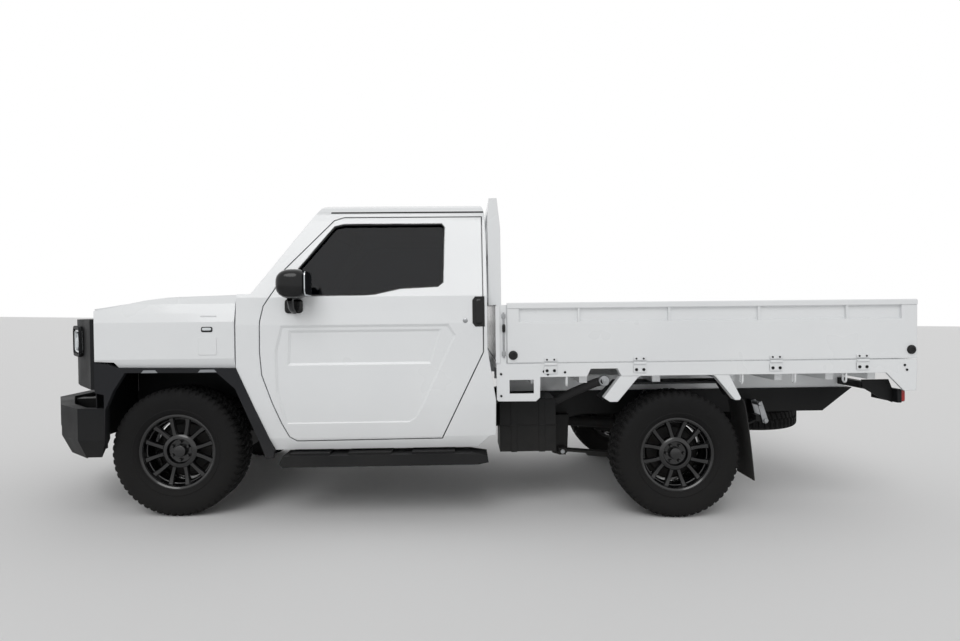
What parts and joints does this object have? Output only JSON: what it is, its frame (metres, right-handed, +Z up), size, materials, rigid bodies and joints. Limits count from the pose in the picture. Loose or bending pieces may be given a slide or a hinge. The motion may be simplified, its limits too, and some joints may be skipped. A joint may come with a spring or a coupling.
{
  "type": "pickup truck",
  "caption": "Single-cab flat-bed pickup truck with drop sides, tailgate, opening doors and hood, steered front wheels and a guard frame behind the cab.",
  "frame": {"origin": "middle of the bounding box on the ground", "axes": "+X to the rear of the truck, +Y to its right side, +Z up"},
  "size_m": [4.9941, 2.15, 1.7693],
  "materials": {
    "body_white": "gloss white paint",
    "trim_black": "grained black plastic",
    "mirror_black": "gloss black plastic",
    "chassis_black": "satin black paint",
    "cast_metal": "raw casting",
    "exhaust_steel": "dull steel",
    "glass": "dark tinted glass",
    "lamp_lens": "clear and red lens",
    "seat_fabric": "woven dark cloth",
    "tyre": "black rubber",
    "rim_black": "gloss black paint"
  },
  "bodies": {
    "chassis": {"frame": "chassis_black", "powertrain": "cast_metal", "rear_axle": "chassis_black", "suspension": "chassis_black", "fuel_tank": "chassis_black", "exhaust": "exhaust_steel", "spare_wheel": "tyre", "cab_floor": "body_white", "cab_sides": "body_white", "cab_roof": "body_white", "cab_front": "body_white", "cab_rear": "body_white", "cab_glass": "glass", "wings": "body_white", "flares": "trim_black", "grille": "trim_black", "lamps": "lamp_lens", "bumper": "trim_black", "side_steps": "trim_black", "dashboard": "trim_black", "seat": "seat_fabric", "bed_deck": "body_white", "headboard": "body_white", "rear_guards": "body_white"},
    "knuckle_left": {"knuckle_left": "cast_metal"},
    "knuckle_right": {"knuckle_right": "cast_metal"},
    "wheel_front_left": {"rim_front_left": "rim_black", "tyre_front_left": "tyre"},
    "wheel_front_right": {"rim_front_right": "rim_black", "tyre_front_right": "tyre"},
    "wheel_rear_left": {"rim_rear_left": "rim_black", "tyre_rear_left": "tyre"},
    "wheel_rear_right": {"rim_rear_right": "rim_black", "tyre_rear_right": "tyre"},
    "door_left": {"door_left": "body_white", "door_glass_left": "glass", "mirror_left": "mirror_black"},
    "door_right": {"door_right": "body_white", "door_glass_right": "glass", "mirror_right": "mirror_black"},
    "hood": {"hood": "body_white"},
    "gate_left": {"gate_left": "body_white"},
    "gate_right": {"gate_right": "body_white"},
    "tailgate": {"tailgate": "body_white"},
    "steering_wheel": {"steering_wheel": "trim_black"}
  },
  "joints": [
    {"name": "steer_left", "type": "hinge", "parent": "chassis", "child": "knuckle_left", "pos_m": [-1.5738, -0.62, 0.352], "axis": [0, 0, 1], "range_deg": [-30, 30]},
    {"name": "steer_right", "type": "hinge", "parent": "chassis", "child": "knuckle_right", "pos_m": [-1.5738, 0.62, 0.352], "axis": [0, 0, 1], "range_deg": [-30, 30]},
    {"name": "spin_front_left", "type": "hinge", "parent": "knuckle_left", "child": "wheel_front_left", "pos_m": [-1.5738, -0.73, 0.352], "axis": [0, 1, 0], "continuous": true},
    {"name": "spin_front_right", "type": "hinge", "parent": "knuckle_right", "child": "wheel_front_right", "pos_m": [-1.5738, 0.73, 0.352], "axis": [0, 1, 0], "continuous": true},
    {"name": "spin_rear_left", "type": "hinge", "parent": "chassis", "child": "wheel_rear_left", "pos_m": [1.1762, -0.73, 0.352], "axis": [0, 1, 0], "continuous": true},
    {"name": "spin_rear_right", "type": "hinge", "parent": "chassis", "child": "wheel_rear_right", "pos_m": [1.1762, 0.73, 0.352], "axis": [0, 1, 0], "continuous": true},
    {"name": "door_left_hinge", "type": "hinge", "parent": "chassis", "child": "door_left", "pos_m": [-1.10937, -0.888, 0.80983], "axis": [0.0209, 0, -0.9998], "range_deg": [0, 65]},
    {"name": "door_right_hinge", "type": "hinge", "parent": "chassis", "child": "door_right", "pos_m": [-1.10937, 0.888, 0.80983], "axis": [-0.0209, 0, 0.9998], "range_deg": [0, 65]},
    {"name": "hood_hinge", "type": "hinge", "parent": "chassis", "child": "hood", "pos_m": [-1.25407, 0, 1.22389], "axis": [0, 1, 0], "range_deg": [0, 50]},
    {"name": "gate_left_hinge", "type": "hinge", "parent": "chassis", "child": "gate_left", "pos_m": [1.35884, -0.868, 0.87353], "axis": [0.9998, 0, 0.0209], "range_deg": [0, 165]},
    {"name": "gate_right_hinge", "type": "hinge", "parent": "chassis", "child": "gate_right", "pos_m": [1.35884, 0.868, 0.87353], "axis": [-0.9998, 0, -0.0209], "range_deg": [0, 165]},
    {"name": "tailgate_hinge", "type": "hinge", "parent": "chassis", "child": "tailgate", "pos_m": [2.50559, 0, 0.89755], "axis": [0, 1, 0], "range_deg": [0, 165]},
    {"name": "steering_wheel_turn", "type": "hinge", "parent": "chassis", "child": "steering_wheel", "pos_m": [-0.75806, 0.37, 1.03723], "axis": [0.8973, 0, 0.4415], "range_deg": [-480, 480]}
  ],
  "couplings": [
    {"joint": "steer_right", "follows": "steer_left", "ratio": 1},
    {"joint": "steering_wheel_turn", "follows": "steer_left", "ratio": 16}
  ]
}
